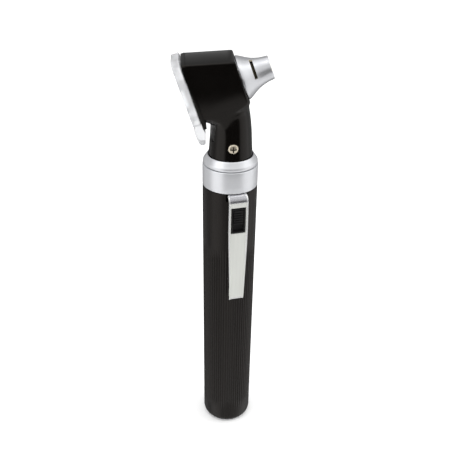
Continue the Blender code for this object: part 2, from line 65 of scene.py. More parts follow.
def joint(name):
    return next(entry for entry in frame["joints"] if entry["name"] == name)


def tilted_frame(point, axis):
    """A frame at a point whose Z is the given direction in the XZ plane, and whose Y stays put."""
    turn = Matrix.Rotation(math.atan2(axis[0], axis[2]), 4, "Y")
    return Matrix.Translation(Vector(point)) @ turn


COLLAR_LOW, COLLAR_HIGH = low_high("handle_collar")
RING_LOW, RING_HIGH = low_high("lock_ring")
SHELL_LOW, SHELL_HIGH = low_high("head_shell")
HANDLE_TOP_R = COLLAR_HIGH.x
HANDLE_TOP = COLLAR_LOW.z
SPIGOT_TOP = low_high("handle_tube")[1].z
NECK_FOOT = SHELL_LOW.z
HEAD_HALF_WIDTH = SHELL_HIGH.y

clip_axis = joint("clip_flex")["axis"]
CLIP_FRAME = Matrix.Rotation(math.atan2(-clip_axis[1], -clip_axis[0]), 4, "Z")
pivot_axis = Vector(joint("magnifier_swivel")["axis"])
PIVOT_POINT = Vector(joint("magnifier_swivel")["pos_m"]) / MM
PIVOT_FRAME = tilted_frame(PIVOT_POINT, pivot_axis)
PIVOT_HEIGHT = 7.9                 # up the rear face from the origin of REAR_FRAME
LENS_HEIGHT = -2.2                 # measured the same way
REAR_FRAME = PIVOT_FRAME @ Matrix.Translation((PIVOT_HEIGHT, 0, 0))
CONE_TILT = 20.3                   # degrees above level
CONE_AXIS = (math.cos(math.radians(CONE_TILT)), 0, math.sin(math.radians(CONE_TILT)))
CONE_SEAT = (3.2, 0, 149.25)
CONE_FRAME = tilted_frame(CONE_SEAT, CONE_AXIS)
CONE_LENGTH = 10.6
CONE_WALL = 0.75
SCREW_HEIGHT = 126.3
SCREW_TURN = 4                     # degrees from -Y towards +X
SCREW_FRAME = (Matrix.Translation((0, 0, SCREW_HEIGHT))
               @ Matrix.Rotation(math.radians(SCREW_TURN), 4, "Z")
               @ Matrix.Rotation(math.radians(90), 4, "X"))
WORLD = Matrix.Identity(4)

BORE_R = 7.6
SPIGOT_R = 9.25
FOOT_THICKNESS = 2.5
NECK_R = 7.8
BEZEL_HALF = 2.45
KNOB_HALF = 1.75
SWITCH_FLOOR = -10.9               # y of the surface that the knob slides over
WINDOW_Z = (95.5, 105.9)           # opening in the clip for the switch

ROUND = 160                        # facets round the large turned pieces
MIDDLE_ROUND = 96
SMALL_ROUND = 64
FLUTES = 60
FLUTE_DEPTH = 0.2
FLUTE_LOW = 6.0
FLUTE_HIGH = 89.0

DARK_CENTRE = math.radians(7)      # dark stretch of the surround, azimuth from -Y towards +X
DARK_HALF = math.radians(39)
DARK_BLUR = 0.12                   # radians over which its sides fade
PLAIN_WHITE = 1.08                 # brightness of the surround for everything but reflections
SURROUND = 0.6                     # its plain brightness in reflections
ZENITH = 1.5                       # how much brighter it is straight above
NEAR_DEPTH = 0.95                  # how much dimmer the four stretches are
BEHIND_DEPTH = 0.5
FAR_DEPTH = 0.3
EDGE_DEPTH = 0.85
BEHIND_CENTRE = 0.2                # azimuth, in radians, that is opposite the stretch behind
STRIPS = ((math.radians(-60), 0.5), (math.radians(82), 0.32))  # brighter upright stretches
STRIP_FADE = (0.25, 0.62)
STRIP_LIFT = 2.6                   # how much stronger they are higher up


# ---- outlines --------------------------------------------------------------------------------------
def arc(centre, radius, start, stop, steps):
    """Points on a circle from start to stop, in degrees, both ends included."""
    angles = [math.radians(start + (stop - start) * i / steps) for i in range(steps + 1)]
    return [(centre[0] + radius * math.cos(a), centre[1] + radius * math.sin(a)) for a in angles]


def bezier(a, b, c, d, steps):
    """Points on a cubic curve, both ends included."""
    points = []
    for i in range(steps + 1):
        t = i / steps
        weights = ((1 - t) ** 3, 3 * t * (1 - t) ** 2, 3 * t * t * (1 - t), t ** 3)
        points.append(tuple(sum(w * p[k] for w, p in zip(weights, (a, b, c, d))) for k in (0, 1)))
    return points


def eased(rows, per_span):
    """Rows of numbers with smooth rows put in between them (Catmull-Rom)."""
    result = []
    for i in range(len(rows) - 1):
        a = rows[max(i - 1, 0)]
        b = rows[i]
        c = rows[i + 1]
        d = rows[min(i + 2, len(rows) - 1)]
        for k in range(per_span):
            t = k / per_span
            result.append([0.5 * (2 * q + (r - p) * t + (2 * p - 5 * q + 4 * r - s) * t * t
                                  + (3 * q - p - 3 * r + s) * t ** 3)
                           for p, q, r, s in zip(a, b, c, d)])
    result.append(list(rows[-1]))
    return result


def smoothstep(value, low, high):
    share = min(1.0, max(0.0, (value - low) / (high - low)))
    return share * share * (3 - 2 * share)


# ---- mesh helpers ----------------------------------------------------------------------------------
def turned(outline, segments=ROUND):
    """Turn (radius, height) points round Z; points on the axis close the ends."""
    mesh = bmesh.new()
    rings = []
    for radius, height in outline:
        if radius < 1e-6:
            rings.append([mesh.verts.new((0, 0, height))])
            continue
        angles = [math.tau * i / segments for i in range(segments)]
        rings.append([mesh.verts.new((radius * math.cos(a), radius * math.sin(a), height))
                      for a in angles])
    pairs = list(zip(rings, rings[1:]))
    if len(rings[0]) > 1:
        pairs.append((rings[-1], rings[0]))
    for first, second in pairs:
        bridge(mesh, first, second, segments)
    return mesh


def bridge(mesh, first, second, count):
    """Faces between two closed rings, either of which may be a single point."""
    for i in range(count):
        j = (i + 1) % count
        corners = [first[i % len(first)], first[j % len(first)],
                   second[j % len(second)], second[i % len(second)]]
        kept = list(dict.fromkeys(corners))
        if len(kept) > 2:
            mesh.faces.new(kept)


def prism(outline, low, high, axis="Z"):
    """Extrude an outline along an axis. Its points are (x, y) for Z, (x, z) for Y, (y, z) for X."""
    mesh = bmesh.new()
    place = {"Z": lambda p, d: (p[0], p[1], d), "Y": lambda p, d: (p[0], d, p[1]),
             "X": lambda p, d: (d, p[0], p[1])}[axis]
    first = [mesh.verts.new(place(point, low)) for point in outline]
    second = [mesh.verts.new(place(point, high)) for point in outline]
    bridge(mesh, first, second, len(outline))
    mesh.faces.new(list(reversed(first)))
    mesh.faces.new(second)
    return mesh


def block(x, y, z):
    return prism([(x[0], y[0]), (x[1], y[0]), (x[1], y[1]), (x[0], y[1])], z[0], z[1])


def lofted(rings):
    """Join rings that hold the same number of points, and close both ends."""
    mesh = bmesh.new()
    loops = [[mesh.verts.new(point) for point in ring] for ring in rings]
    for first, second in zip(loops, loops[1:]):
        bridge(mesh, first, second, len(loops[0]))
    mesh.faces.new(list(reversed(loops[0])))
    mesh.faces.new(loops[-1])
    return mesh


def sector(inner, outer, centre, half_angle, low, high, steps=12):
    """Part of a ring, centred on an angle in degrees."""
    start = centre - half_angle
    stop = centre + half_angle
    outline = arc((0, 0), outer, start, stop, steps) + arc((0, 0), inner, stop, start, steps)
    return prism(outline, low, high)


def helix(radius_low, radius_high, low, high, turns, wire):
    """A round-wire spring between two heights."""
    steps = 36
    sides = 12
    rings = []
    total = int(turns * steps)
    for i in range(total + 1):
        share = i / total
        angle = math.tau * turns * share
        radius = radius_low + (radius_high - radius_low) * share
        height = low + wire + (high - low - 2 * wire) * share
        ring = []
        for point in arc((radius, height), wire, 0, 360 - 360 / sides, sides - 1):
            ring.append((point[0] * math.cos(angle), point[0] * math.sin(angle), point[1]))
        rings.append(ring)
    return lofted(rings)


def moved(mesh, matrix):
    mesh.transform(matrix)
    return mesh


def temporary(mesh):
    """Put a bmesh into the scene for a moment."""
    bmesh.ops.recalc_face_normals(mesh, faces=mesh.faces)
    data = bpy.data.meshes.new("temporary")
    mesh.to_mesh(data)
    mesh.free()
    thing = bpy.data.objects.new("temporary", data)
    bpy.context.scene.collection.objects.link(thing)
    return thing


def carved(mesh, cutters, operation="DIFFERENCE"):
    """Cut or join a mesh with others, and return the result."""
    base = temporary(mesh)
    tools = [temporary(cutter) for cutter in cutters]
    for tool in tools:
        change = base.modifiers.new("carve", "BOOLEAN")
        change.operation = operation
        change.object = tool
        change.solver = "EXACT"
    graph = bpy.context.evaluated_depsgraph_get()
    data = bpy.data.meshes.new_from_object(base.evaluated_get(graph))
    result = bmesh.new()
    result.from_mesh(data)
    for thing in [base] + tools:
        bpy.data.meshes.remove(thing.data)
    bpy.data.meshes.remove(data)
    bmesh.ops.remove_doubles(result, verts=result.verts, dist=1e-4)
    return result


def rounded(mesh, width, angle=40, segments=2):
    """Round the edges that turn more than an angle."""
    bmesh.ops.recalc_face_normals(mesh, faces=mesh.faces)
    limit = math.radians(angle)
    edges = [edge for edge in mesh.edges
             if len(edge.link_faces) == 2 and edge.calc_face_angle() > limit]
    bmesh.ops.bevel(mesh, geom=edges, offset=width, segments=segments, profile=0.6,
                    affect="EDGES", clamp_overlap=True)
    return mesh


def piece(name, mesh, body, materials, nodes, place=WORLD, sharp=32):
    """Make a finished piece that rides on a body and stands for CAD nodes."""
    mesh.transform(Matrix.Scale(MM, 4) @ place)
    bmesh.ops.recalc_face_normals(mesh, faces=mesh.faces)
    data = bpy.data.meshes.new(name)
    mesh.to_mesh(data)
    mesh.free()
    for material in materials:
        data.materials.append(material)
    data.shade_smooth()
    data.set_sharp_from_angle(angle=math.radians(sharp))
    thing = bpy.data.objects.new(name, data)
    bpy.context.scene.collection.objects.link(thing)
    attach(thing, body)
    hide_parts(*nodes)
    return thing


# ---- materials -------------------------------------------------------------------------------------
def shaded(colour, share):
    return tuple(min(1.0, channel * share) for channel in colour) + (1.0,)


def surface(name, colour, roughness, metallic=0.0, *, grain, stretch=(1, 1, 1), turn=(0, 0, 0),
            colour_spread=0.08, roughness_spread=0.1, bump=0.1, depth=0.00002, detail=4.0):
    """A Principled material whose colour, roughness and bump follow a stretched grain."""
    material = bpy.data.materials.new(name)
    material.use_nodes = True
    tree = material.node_tree
    nodes = tree.nodes
    shader = nodes["Principled BSDF"]
    shader.inputs["Metallic"].default_value = metallic

    where = nodes.new("ShaderNodeTexCoord")
    mapping = nodes.new("ShaderNodeMapping")
    mapping.inputs["Rotation"].default_value = turn
    mapping.inputs["Scale"].default_value = stretch
    tree.links.new(where.outputs["Object"], mapping.inputs["Vector"])
    noise = nodes.new("ShaderNodeTexNoise")
    noise.inputs["Scale"].default_value = grain
    noise.inputs["Detail"].default_value = detail
    tree.links.new(mapping.outputs["Vector"], noise.inputs["Vector"])

    ramp = nodes.new("ShaderNodeValToRGB")
    ramp.color_ramp.elements[0].position = 0.3
    ramp.color_ramp.elements[1].position = 0.7
    ramp.color_ramp.elements[0].color = shaded(colour, 1 - colour_spread)
    ramp.color_ramp.elements[1].color = shaded(colour, 1 + colour_spread)
    tree.links.new(noise.outputs["Fac"], ramp.inputs["Fac"])
    tree.links.new(ramp.outputs["Color"], shader.inputs["Base Color"])

    spread = nodes.new("ShaderNodeMapRange")
    spread.inputs["From Min"].default_value = 0.3
    spread.inputs["From Max"].default_value = 0.7
    spread.inputs["To Min"].default_value = roughness * (1 - roughness_spread)
    spread.inputs["To Max"].default_value = roughness * (1 + roughness_spread)
    tree.links.new(noise.outputs["Fac"], spread.inputs["Value"])
    tree.links.new(spread.outputs["Result"], shader.inputs["Roughness"])

    relief = nodes.new("ShaderNodeBump")
    relief.inputs["Strength"].default_value = bump
    relief.inputs["Distance"].default_value = depth
    tree.links.new(noise.outputs["Fac"], relief.inputs["Height"])
    tree.links.new(relief.outputs["Normal"], shader.inputs["Normal"])
    return material


def shader_of(material):
    return material.node_tree.nodes["Principled BSDF"]


def gloss_black():
    """Moulded gloss plastic of the head: near black, with a faint warm cast and orange peel."""
    material = surface("gloss_black", (0.0024, 0.0020, 0.0018), 0.11, grain=220,
                       roughness_spread=0.18, bump=0.05, depth=0.00006, detail=2.0)
    shader_of(material).inputs["Specular IOR Level"].default_value = 0.33
    shader_of(material).inputs["Specular Tint"].default_value = (1.0, 0.94, 0.88, 1.0)
    return material


def handle_black():
    """Plastic of the handle: less glossy than the head, with a fine grain along its length."""
    material = surface("handle_black", (0.0050, 0.0039, 0.0034), 0.28, grain=900,
                       stretch=(1, 1, 0.06), colour_spread=0.3, roughness_spread=0.2, bump=0.08)
    shader = shader_of(material)
    shader.inputs["Specular IOR Level"].default_value = 0.28
    shader.inputs["Specular Tint"].default_value = (1.0, 0.93, 0.88, 1.0)
    return material


def switch_black():
    """Fine matt plastic of the switch and the sleeve."""
    material = surface("switch_black", (0.006, 0.006, 0.006), 0.42, grain=1800, bump=0.2)
    shader_of(material).inputs["Specular IOR Level"].default_value = 0.3
    return material


def turned_silver(name, metallic, turn=(0, 0, 0)):
    """Satin anodised metal, with very fine marks that run round the piece."""
    return surface(name, (0.80, 0.81, 0.835), 0.3, metallic, grain=260, stretch=(0.5, 0.5, 26),
                   turn=turn, colour_spread=0.012, roughness_spread=0.05, bump=0.02,
                   depth=0.00001, detail=3.0)


def clip_satin():
    """Brushed face of the clip, with its marks drawn along the clip."""
    return surface("clip_satin", (0.62, 0.63, 0.595), 0.5, 0.3, grain=1500,
                   stretch=(1, 1, 0.04), colour_spread=0.035, roughness_spread=0.12, bump=0.08,
                   depth=0.00001)


def polished(name, colour, roughness, metallic=0.8):
    """Smooth bright metal."""
    return surface(name, colour, roughness, metallic, grain=500, colour_spread=0.02,
                   roughness_spread=0.12, bump=0.01, depth=0.00001)


def brass():
    return surface("contact_brass", (0.74, 0.55, 0.25), 0.28, 1.0, grain=420, colour_spread=0.12,
                   roughness_spread=0.3, bump=0.06)


def cell_wrap():
    """Printed film round a cell: dark body with a coppery band at the plus end, no lettering."""
    first_cell = 0.0093            # metres up the handle
    cell_pitch = 0.0508
    band_start = 0.036
    material = surface("cell_wrap", (0.03, 0.03, 0.035), 0.3, grain=300, bump=0.04)
    tree = material.node_tree
    ramp = next(node for node in tree.nodes if node.type == "VALTORGB")
    where = next(node for node in tree.nodes if node.type == "TEX_COORD")
    split = tree.nodes.new("ShaderNodeSeparateXYZ")
    tree.links.new(where.outputs["Object"], split.inputs["Vector"])
    above = math_node(tree, "SUBTRACT", split.outputs["Z"], first_cell)
    along = math_node(tree, "MODULO", above, cell_pitch)
    band = math_node(tree, "GREATER_THAN", along, band_start)
    mix = tree.nodes.new("ShaderNodeMixRGB")
    mix.inputs["Color2"].default_value = (0.55, 0.27, 0.10, 1.0)
    tree.links.new(band, mix.inputs["Fac"])
    tree.links.new(ramp.outputs["Color"], mix.inputs["Color1"])
    tree.links.new(mix.outputs["Color"], shader_of(material).inputs["Base Color"])
    return material


def white_bush():
    return surface("white_bush", (0.72, 0.71, 0.67), 0.5, grain=700)


def clear(name, colour, roughness, ior):
    """Clear moulding or glass that light passes through, with a faint variation in its haze."""
    material = surface(name, colour, roughness, grain=240, colour_spread=0.02,
                       roughness_spread=0.3, bump=0.02, depth=0.00001, detail=2.0)
    shader = shader_of(material)
    shader.inputs["Transmission Weight"].default_value = 1.0
    shader.inputs["IOR"].default_value = ior
    return material


def hazy_acrylic():
    """Clear moulding with a slight milky haze, as handled acrylic has."""
    material = clear("clear_acrylic", (0.90, 0.905, 0.92), 0.17, 1.4)
    shader_of(material).inputs["Transmission Weight"].default_value = 0.64
    return material


def lit(name, colour, strength):
    """Clear material that gives off a little warm light, for the lamp and its guide."""
    material = clear(name, colour, 0.2, 1.46)
    shader = shader_of(material)
    shader.inputs["Emission Color"].default_value = (1.0, 0.86, 0.52, 1.0)
    shader.inputs["Emission Strength"].default_value = strength
    return material


def warm_edge():
    """Slot walls of the cone, tinted by the lamp's light that escapes through them."""
    material = surface("warm_edge", (0.80, 0.66, 0.36), 0.4, 0.6, grain=400)
    shader = shader_of(material)
    shader.inputs["Emission Color"].default_value = (1.0, 0.78, 0.30, 1.0)
    shader.inputs["Emission Strength"].default_value = 0.35
    return material


def pale_floor():
    """Nearly white ground without any gloss."""
    material = surface("pale_floor", (0.97, 0.97, 0.97), 0.6, grain=6, colour_spread=0.004,
                       roughness_spread=0.1, bump=0.0, detail=1.0)
    shader_of(material).inputs["Specular IOR Level"].default_value = 0.0
    return material


# ---- handle ----------------------------------------------------------------------------------------
def handle_radius(height):
    """Outer radius of the tube, which grows a little towards the collar."""
    foot = -COLLAR_LOW.x - 0.23
    return foot + (HANDLE_TOP_R - foot) * height / HANDLE_TOP


def flute(angle, height):
    """How far a point sinks into the fine grooves of the grip, which fade at both ends."""
    fade_low = 6
    fade_high = 7
    fade = smoothstep(height, FLUTE_LOW, FLUTE_LOW + fade_low)
    fade *= 1 - smoothstep(height, FLUTE_HIGH - fade_high, FLUTE_HIGH)
    wave = 0.5 + 0.5 * math.cos(FLUTES * angle)
    return FLUTE_DEPTH * fade * wave ** 2


def make_handle(black):
    """Fluted battery tube with its rounded foot, spigot, bore and recesses."""
    segments = FLUTES * 8
    foot_round = 2.4
    foot = handle_radius(0) - foot_round
    heights = [4.0, FLUTE_LOW, 7, 8, 9, 10, 11, 12, 20, 35, 50, 65, 80, 82, 83, 84,
               85, 86, 87, 88, FLUTE_HIGH, 92, 100]
    top = HANDLE_TOP - GAP
    outline = [(0, 0)] + arc((foot, foot_round), foot_round, -90, 0, 12)
    outline += [(handle_radius(z), z) for z in heights]
    edge = 0.15
    outline += [(HANDLE_TOP_R - 0.02, top - edge), (HANDLE_TOP_R - edge, top), (SPIGOT_R, top),
                (SPIGOT_R, SPIGOT_TOP), (BORE_R, SPIGOT_TOP), (BORE_R, FOOT_THICKNESS),
                (0, FOOT_THICKNESS)]
    mesh = turned(outline, segments)
    inner_limit = 9.5              # only the outer skin gets flutes
    for vert in mesh.verts:
        radius = vert.co.xy.length
        if radius > inner_limit and FLUTE_LOW < vert.co.z < FLUTE_HIGH:
            share = 1 - flute(math.atan2(vert.co.y, vert.co.x), vert.co.z) / radius
            vert.co.x *= share
            vert.co.y *= share
    cuts = [
        block((-2.0, 2.0), (-12, -8.8), (95.9, 105.3)),
        block((-1.2, 1.2), (-12, -8.81), (105.0, 109.0)),
        block((-4.0, 4.0), (-12, -8.15), (107.5, 115)),
        block((-1.3, 1.3), (-8.35, -6.5), (2.51, 97.3)),
        block((-1.3, 1.3), (-9.2, -8.0), (96.4, 97.31)),
    ]
    return piece("handle_grip", carved(mesh, cuts), "handle", [black],
                 ["handle_tube"], CLIP_FRAME, sharp=38)


def make_collar(silver):
    """Satin collar with softly rounded edges and the slotted flange inside it."""
    edge = 0.35
    outline = arc((HANDLE_TOP_R - 0.12, HANDLE_TOP + 0.12), 0.12, -90, 0, 4)
    outline += [(HANDLE_TOP_R, 113), (HANDLE_TOP_R, 116)]
    outline += arc((HANDLE_TOP_R - edge, COLLAR_HIGH.z - edge), edge, 0, 90, 8)
    outline += [(9.2, COLLAR_HIGH.z), (7.25, COLLAR_HIGH.z), (7.25, 116.2), (9.0, 116.2),
                (9.0, SPIGOT_TOP + 0.4), (9.55, SPIGOT_TOP + 0.4), (9.55, HANDLE_TOP)]
    slots = [sector(6.0, 8.95, 60 + 120 * i, 18, 115.9, 120) for i in range(3)]
    return piece("collar_sleeve", carved(turned(outline), slots), "handle",
                 [silver], ["handle_collar"])


def clip_profile(half_width, rim):
    """Across the clip, as (x, offset): flat back, raised polished rims and a sunken face."""
    thick = 0.35
    face = thick - 0.2 * rim
    right = [(half_width - 0.12, -thick), (half_width, -thick + 0.12), (half_width, thick - 0.14),
             (half_width - 0.04, thick - 0.05), (half_width - 0.14, thick),
             (half_width - 0.34, thick), (half_width - 0.44, thick - 0.05),
             (half_width - 0.52, face), (half_width * 0.4, face)]
    return right + [(-x, offset) for x, offset in reversed(right)]


def make_clip(satin, bright, shoulder):
    """Spring clip: tongue under the collar, rolled shoulder, long tapering face with a window.

    Its centre line is given as (y, z, half width).
    """
    tongue = [(-8.7, 113.0, 2.2), (-8.7, 110.9, 2.2)]
    bend = [(-8.95, 110.05, 2.6), (-9.7, 109.85, 3.4), (-10.6, 109.5, 3.55),
            (-11.3, 108.8, 3.55), (-11.62, 107.8, 3.55)]
    blade = [(-11.66, 106.6, 3.55), (-11.62, 94.0, 3.55), (-11.5, 80.0, 3.15),
             (-11.3, 70.0, 2.85), (-11.1, 67.4, 2.8), (-10.85, 66.2, 2.75)]
    shoulder_z = (107.8, 110.3)
    face_foot = 66.6
    rows = eased(tongue + bend + blade, 6)
    rings = []
    for i, (y, z, half_width) in enumerate(rows):
        before = rows[max(i - 1, 0)]
        after = rows[min(i + 1, len(rows) - 1)]
        run = Vector((after[0] - before[0], after[1] - before[1])).normalized()
        rim = 1 - smoothstep(z, 109.3, 109.9)
        rings.append([(x, y + run[1] * offset, z - run[0] * offset)
                      for x, offset in clip_profile(half_width, rim)])
    mesh = lofted(rings)
    for face in mesh.faces:
        middle = face.calc_center_median()
        wide = len(face.verts) == 4 and abs(middle.x) < 2.9 and middle.y < -11.2
        face.material_index = 0 if wide and face_foot < middle.z < shoulder_z[0] else 1
        rolled = shoulder_z[0] < middle.z < shoulder_z[1]
        if len(face.verts) == 4 and abs(middle.x) < 2.6 and rolled:
            face.material_index = 2
    half = BEZEL_HALF + GAP
    window = block((-half, half), (-14, -10.5), WINDOW_Z)
    mesh = carved(mesh, [window])
    return piece("pocket_clip_fine", mesh, "clip", [satin, bright, shoulder],
                 ["pocket_clip"], CLIP_FRAME, sharp=40)


def make_bezel(black):
    """Frame in the clip's window: a floor that the knob slides over, and a slot for its stem."""
    low, high = low_high("switch_bezel")
    outer = block((-BEZEL_HALF, BEZEL_HALF), (-12.0, -10.3), (low.z, high.z))
    room = 0.25
    border = 0.55
    pocket = block((-KNOB_HALF - room, KNOB_HALF + room), (-13, SWITCH_FLOOR),
                   (low.z + border, high.z - border))
    slot = block((-0.9, 0.9), (-12, -10), (99.0, 104.5))
    mesh = rounded(carved(outer, [pocket, slot]), 0.1)
    return piece("switch_frame", mesh, "handle", [black], ["switch_bezel"],
                 CLIP_FRAME)


def make_knob(black):
    """Ribbed slide knob on its stem."""
    low, high = (corner.z for corner in low_high("switch_knob"))
    ribs = 6
    pitch = (high - low) / ribs
    foot_y = SWITCH_FLOOR - GAP
    side = [(foot_y, high), (foot_y, low), (-11.62, low)]
    for i in range(ribs):
        foot = low + i * pitch
        side += [(-11.75, foot + 0.08 * pitch)]
        side += [(-11.98 + point[0], point[1])
                 for point in arc((0, foot + pitch / 2), 0.27, 270, 90, 6)]
        side += [(-11.75, foot + 0.92 * pitch)]
    side += [(-11.62, high)]
    pad = rounded(prism(side, -KNOB_HALF, KNOB_HALF, "X"), 0.07, angle=60)
    stem = block((-0.6, 0.6), (foot_y - 0.2, -10.2), (102.0, 104.2))
    return piece("slide_knob", carved(pad, [stem], "UNION"), "switch", [black],
                 ["switch_knob"], CLIP_FRAME)


# ---- head ------------------------------------------------------------------------------------------
def make_lock_ring(silver):
    """Bevelled ring that turns with the head."""
    foot = RING_LOW.z
    top = RING_HIGH.z
    outline = [(7.2, foot), (9.5, foot), (9.7, foot + 0.05), (9.79, foot + 0.2)]
    outline += bezier((9.8, 119.5), (9.8, 119.85), (9.72, 120.02), (9.55, 120.24), 8)
    outline += bezier((9.35, 120.5), (9.1, 120.85), (8.75, 121.45), (8.42, top - 0.1), 10)
    outline += [(8.3, top), (8.16, top - 0.04), (8.1, top - 0.2), (8.1, 120.3), (7.2, 120.3)]
    return piece("lock_ring_fine", turned(outline), "head", [silver],
                 ["lock_ring"])


def shell_ring(level, count):
    """A ring of the head: rear and front points, half widths and squareness at each end."""
    rear_x, rear_z, front_x, front_z, rear_half, front_half, rear_power, front_power = level
    middle = Vector((rear_x + front_x, 0, rear_z + front_z)) / 2
    reach = Vector((front_x - rear_x, 0, front_z - rear_z)) / 2
    ring = []
    for i in range(count):
        turn = math.tau * (i + 0.5) / count
        power = front_power if math.cos(turn) > 0 else rear_power
        along = math.copysign(abs(math.cos(turn)) ** (2 / power), math.cos(turn))
        across = math.copysign(abs(math.sin(turn)) ** (2 / power), math.sin(turn))
        half = rear_half + (front_half - rear_half) * smoothstep(along, -1, 1)
        ring.append(middle + reach * along + Vector((0, half * across, 0)))
    return ring


def shell_levels():
    """Levels of the head from the neck's foot to the slanted top."""
    wide = HEAD_HALF_WIDTH
    neck = [(-NECK_R, NECK_FOOT, NECK_R, NECK_FOOT, NECK_R, NECK_R, 2, 2),
            (-NECK_R, 122.2, NECK_R, 122.2, NECK_R, NECK_R, 2, 2)]
    turn = [(-7.55, 125.5, 7.6, 125.7, 7.5, 7.5, 2, 2),
            (-7.2, 131.0, 7.25, 131.5, 7.15, 7.15, 2, 2),
            (-7.25, 133.2, 6.7, 136.2, 7.0, 6.95, 2.15, 2.1),
            (-8.5, 134.5, 6.15, 139.6, 7.1, 7.05, 2.6, 2.4),
            (-12.0, 136.0, 6.25, 141.7, 7.4, 7.4, 5, 4),
            (-14.0, 138.6, 5.4, 143.75, wide, wide, 20, 16)]
    box = [(-17.0, 148.6, 2.9, 150.3, wide, wide, 36, 36),
           (-18.6, 155.2, 0.75, 156.3, wide, wide, 36, 36),
           (-18.6, 155.45, 0.62, 156.55, wide - 0.08, wide - 0.08, 36, 36),
           (-18.6, 155.6, 0.4, 156.74, wide - 0.25, wide - 0.25, 36, 36),
           (-18.6, 155.65, 0.15, SHELL_HIGH.z, wide - 0.5, wide - 0.5, 36, 36)]
    return neck[:1] + eased(neck[1:] + turn, 5) + box


def make_shell(black):
    """Head shell: round neck that opens into the slanted box, with its chamber and openings."""
    mesh = lofted([shell_ring(level, 128) for level in shell_levels()])
    behind_rim = [(-8.45, 133.9), (-15.75, 156.5), (-16, 158), (-30, 158), (-30, 133.9)]
    cavity = [(-20, 140.4), (-10.2, 140.4), (2.6, 144.9), (-1.3, 154.9), (-20, 154)]
    bore = turned([(0, 146), (5.2, 146), (5.2, 129.8), (6.5, 129.8), (6.5, 118), (0, 118)],
                  MIDDLE_ROUND)
    front = moved(turned([(0, 3), (6.2, 3), (6.2, -5), (0, -5)], MIDDLE_ROUND), CONE_FRAME)
    recess = turned([(0, 9), (2.2, 9), (2.2, 6.75), (1.3, 6.75), (1.3, 5.5), (0, 5.5)],
                    SMALL_ROUND)
    cuts = [prism(behind_rim, -9, 9, "Y"), prism(cavity, -6.2, 6.2, "Y"), bore, front,
            moved(recess, SCREW_FRAME)]
    mesh = carved(mesh, cuts)
    wide_faces = [face for face in mesh.faces if len(face.verts) > 4]
    bmesh.ops.triangulate(mesh, faces=wide_faces, ngon_method="BEAUTY")
    return piece("head_casing", mesh, "head", [black], ["head_shell"], sharp=28)


def make_neck_screw(metal, shade):
    """Domed cross-head screw."""
    dome = [(0, 7.6), (0.6, 7.58), (1.0, 7.5), (1.4, 7.36), (1.68, 7.2), (1.8, 7.02),
            (1.77, 6.9), (1.0, 6.9), (1.0, 4.9), (0, 4.9)]
    arm = 1.15
    wide = 0.25
    cross = [block((-arm, arm), (-wide, wide), (6.7, 8.5)),
             block((-wide, wide), (-arm, arm), (6.71, 8.5))]
    mesh = carved(turned(dome, SMALL_ROUND), cross)
    # Faces inside the cross slot take the second material, a dark brown: painted shade in the slot.
    for face in mesh.faces:
        middle = face.calc_center_median()
        inside = middle.xy.length < arm + 0.05
        face.material_index = 1 if inside and 6.5 < middle.z < 7.35 else 0
    return piece("cross_screw", mesh, "head", [metal, shade], ["neck_screw"],
                 SCREW_FRAME)


def cone_side(steps):
    """Outer side of the speculum holder as (radius, distance from its seat)."""
    return bezier((7.65, 0.7), (6.6, 3.0), (4.35, 4.8), (4.05, CONE_LENGTH - 0.3), steps)


def make_holder(silver, glow):
    """Flared metal speculum holder with its bayonet slots and rolled tip."""
    side = cone_side(28)
    inner = [(radius - CONE_WALL, distance) for radius, distance in reversed(side)]
    outer_edge = 0.15
    inner_edge = 0.1
    tip = arc((3.82, CONE_LENGTH - outer_edge), outer_edge, 0, 90, 4) + [(3.55, CONE_LENGTH)]
    tip += arc((3.45, CONE_LENGTH - inner_edge), inner_edge, 90, 180, 3)
    flange = [(7.5, GAP), (7.65, GAP + 0.15)]
    outline = flange + side + tip + [point for point in inner if 1.7 < point[1] < 10.2]
    outline += [(6.3, 1.6), (5.2, 1.6), (5.2, -1.7), (5.9, -1.7), (5.9, GAP)]
    slot_low = 4.32
    slot_high = 5.3
    slots = [sector(3.0, 9.0, 180 + turn, 40, slot_low, slot_high, 24) for turn in (55, -55)]
    mesh = carved(turned(outline), slots)
    for face in mesh.faces:
        height = face.calc_center_median().z
        in_slot = slot_low - 0.01 < height < slot_high + 0.01
        face.material_index = 1 if in_slot and abs(face.normal.z) > 0.98 else 0
    return piece("speculum_seat", mesh, "head", [silver, glow],
                 ["speculum_holder"], CONE_FRAME)


def make_sleeve(black):
    """Dark sleeve inside the holder, seen through the slots and at the tip."""
    thickness = 0.4
    body = [point for point in cone_side(40) if 2.6 < point[1] < 9.6]
    outer = [(radius - CONE_WALL - GAP, distance) for radius, distance in body]
    inner = [(radius - thickness, distance) for radius, distance in reversed(outer)]
    return piece("dark_sleeve", turned(outer + inner, MIDDLE_ROUND), "head",
                 [black], ["inner_sleeve"], CONE_FRAME)


def rear_outline(points):
    """Turn (sideways, up the face) points into the rear frames' own x and y."""
    return [(-up, side) for side, up in points]


